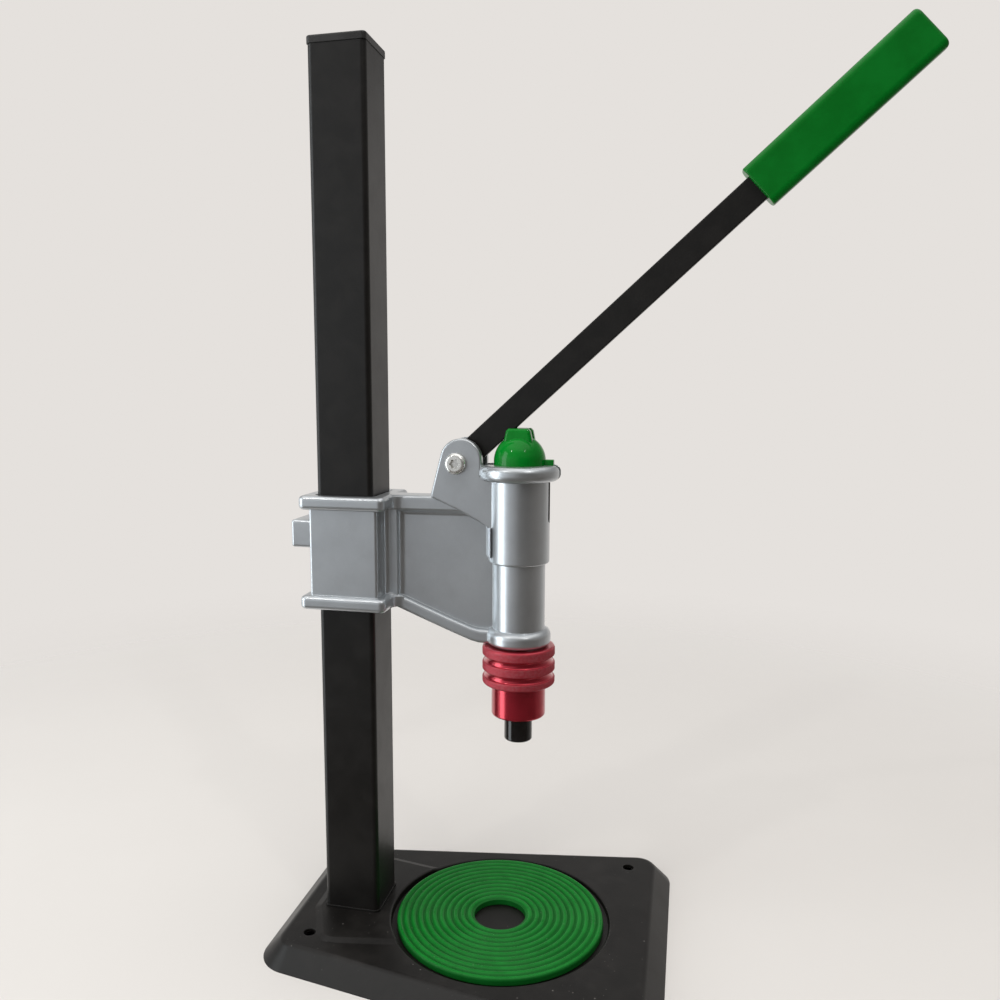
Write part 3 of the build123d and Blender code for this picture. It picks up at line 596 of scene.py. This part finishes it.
# ------------------------------------------------------------------ floor
def floor_material():
    kit = Kit("pale_floor")
    color = kit.tones(kit.noise(scale=6, detail=4), over=(0.3, 0.7),
                      low=(0.671, 0.648, 0.624), high=(0.678, 0.655, 0.631))
    kit.finish(color=color, rough=kit.mottle(scale=30, over=(0.3, 0.7), to=(0.62, 0.72)),
               spec=0.25, normal=kit.grain(None, scale=420, strength=0.06, distance=0.0002))
    # in reflections the floor ends close to the base on the -Y and +X sides, in a dark room
    x, y, z = kit.axes
    glossy = kit.add("ShaderNodeLightPath").outputs["Is Glossy Ray"]
    beyond = kit.larger(kit.span(y, over=(-0.075, -0.125)), kit.span(x, over=(0.24, 0.30)))
    # it thins out with distance, so that it runs into the pale background with no horizon
    thin = kit.span(kit.radial(FLOOR_X), over=(0.42, 1.15))
    clear = kit.add("ShaderNodeBsdfTransparent").outputs[0]
    share = kit.larger(thin, kit.times(glossy, beyond))
    kit.put(kit.out.inputs[0], kit.mix_shader(share, kit.bsdf.outputs[0], clear))
    return kit.mat


def floor():
    verts = [(FLOOR_X, 0, 0)]
    for radius in FLOOR_RADII:
        for j in range(FLOOR_SIDES):
            angle = 2 * math.pi * j / FLOOR_SIDES
            verts.append((FLOOR_X + radius * math.cos(angle), radius * math.sin(angle), 0))
    faces = [(0, 1 + j, 1 + (j + 1) % FLOOR_SIDES) for j in range(FLOOR_SIDES)]
    for i in range(len(FLOOR_RADII) - 1):
        inner, outer = 1 + i * FLOOR_SIDES, 1 + (i + 1) * FLOOR_SIDES
        for j in range(FLOOR_SIDES):
            after = (j + 1) % FLOOR_SIDES
            faces.append((inner + j, outer + j, outer + after, inner + after))
    mesh = bpy.data.meshes.new("floor")
    mesh.from_pydata(verts, [], faces)
    disc = bpy.data.objects.new("floor", mesh)
    bpy.context.scene.collection.objects.link(disc)
    mesh.materials.append(floor_material())


floor()

# ------------------------------------------------------------------ room light
# (azimuth in degrees from +X, colour): pale all round, dim behind the camera and to its right
ROOM_RING = [
    (-180, (0.80, 0.80, 0.81)), (-168, (0.95, 0.99, 1.04)), (-138, (0.92, 0.97, 1.03)),
    (-122, (0.62, 0.64, 0.67)), (-102, (0.50, 0.505, 0.515)), (-80, (0.075, 0.070, 0.064)),
    (-44, (0.040, 0.035, 0.031)), (-24, (0.13, 0.118, 0.105)), (-4, (0.19, 0.175, 0.162)),
    (22, (0.24, 0.225, 0.21)), (58, (0.60, 0.575, 0.55)), (95, (0.76, 0.73, 0.70)),
    (150, (0.80, 0.785, 0.77)), (180, (0.80, 0.80, 0.81)),
]


def room():
    world = bpy.data.worlds.new("room")
    bpy.context.scene.world = world
    graph = Graph(world)
    x, y, z = graph.split(graph.add("ShaderNodeTexCoord").outputs["Generated"])
    azimuth = graph.add("ShaderNodeMath", {0: y, 1: x}, operation="ARCTAN2").outputs[0]
    turn = graph.span(azimuth, over=(-math.pi, math.pi), smooth=False)
    ring = graph.add("ShaderNodeValToRGB", {0: turn})
    stops = ring.color_ramp.elements
    while len(stops) > 1:
        stops.remove(stops[-1])
    stops[0].position = 0.0
    stops[0].color = (*ROOM_RING[0][1], 1)
    for degrees, color in ROOM_RING[1:]:
        stops.new((degrees + 180) / 360).color = (*color, 1)

    # bands by the direction's height: a dimmer middle, a bright ceiling, and a dark
    # lower part on the viewer's side (-Y)
    sky = graph.mix(graph.span(z, over=(0.17, 0.42)), ring.outputs[0], (0.30, 0.295, 0.29))
    sky = graph.mix(graph.span(z, over=(0.60, 0.90)), sky, (1.25, 1.235, 1.22))
    below = graph.span(z, over=(-0.06, -0.34))
    near = graph.span(y, over=(0.10, -0.10), smooth=False)
    share = graph.add("ShaderNodeMath", {0: below, 1: near}, operation="MULTIPLY").outputs[0]
    sky = graph.mix(share, sky, (0.085, 0.072, 0.062))

    light = graph.add("ShaderNodeBackground", {0: sky, 1: 1.0}).outputs[0]
    seen = graph.add("ShaderNodeBackground", {0: WALL_COLOR}).outputs[0]
    camera_ray = graph.add("ShaderNodeLightPath").outputs["Is Camera Ray"]
    graph.add("ShaderNodeOutputWorld", {0: graph.mix_shader(camera_ray, light, seen)})


room()


def softbox(name, azimuth, distance, height, width, tall, radiance, color,
            target=(0.07, 0, 0.30), glossy=True):
    """Area light facing its target, at a level distance and azimuth (degrees) from it."""
    data = bpy.data.lights.new(name, "AREA")
    data.shape = "RECTANGLE"
    data.size, data.size_y = width, tall
    data.energy = radiance * math.pi * width * tall
    data.color = color
    lamp = bpy.data.objects.new(name, data)
    bpy.context.scene.collection.objects.link(lamp)
    angle = math.radians(azimuth)
    lamp.location = (target[0] + distance * math.cos(angle),
                     target[1] + distance * math.sin(angle), height)
    lamp.rotation_mode = "QUATERNION"
    lamp.rotation_quaternion = (Vector(target) - lamp.location).to_track_quat("-Z", "Y")
    lamp.visible_camera = False
    lamp.visible_glossy = glossy


softbox("window", azimuth=-152, distance=1.7, height=0.25, width=0.72, tall=2.4,
        radiance=3.0, color=(0.90, 0.97, 1.0))
softbox("fill", azimuth=-118, distance=1.5, height=0.85, width=1.2, tall=1.0,
        radiance=1.15, color=(1.0, 0.99, 0.975), glossy=False)
softbox("overhead", azimuth=-100, distance=0.35, height=2.0, width=1.8, tall=1.8,
        radiance=1.55, color=(1.0, 0.985, 0.965), glossy=False)
# two small ceiling lamps, seen as points in the glossy dome and on the rims
LAMP_REACH, LAMP_SIZE, LAMP_TARGET_Z = 2.2, 0.085, 0.34
for label, azimuth, elevation in (("lamp_a", -127.7, 42.6), ("lamp_b", -49.1, 45.5)):
    rise = math.radians(elevation)
    softbox(label, azimuth=azimuth, distance=LAMP_REACH * math.cos(rise),
            height=LAMP_TARGET_Z + LAMP_REACH * math.sin(rise), width=LAMP_SIZE, tall=LAMP_SIZE,
            radiance=130.0, color=(1.0, 0.98, 0.95), target=(RAM_X, 0, LAMP_TARGET_Z))

# ------------------------------------------------------------------ camera
camera = bpy.data.objects.new("camera", bpy.data.cameras.new("camera"))
bpy.context.scene.collection.objects.link(camera)
right = (0.97337, 0.22924, 0.0)
up = (-0.0305, 0.12956, 0.99110)
back = (0.22720, -0.96471, 0.13310)
camera.rotation_mode = "QUATERNION"
turned_to = Matrix((right, up, back)).transposed()
camera.rotation_quaternion = turned_to.to_quaternion().normalized()
camera.location = (0.2283, -0.5951, 0.3931)
camera.data.sensor_width = 36
camera.data.lens = 32.69
camera.data.shift_x, camera.data.shift_y = 0.0230, 0.0035
camera.data.clip_start, camera.data.clip_end = 0.01, 100
bpy.context.scene.camera = camera

view = bpy.context.scene.view_settings
view.view_transform = "Standard"
view.look = "None"
view.exposure = 0.0
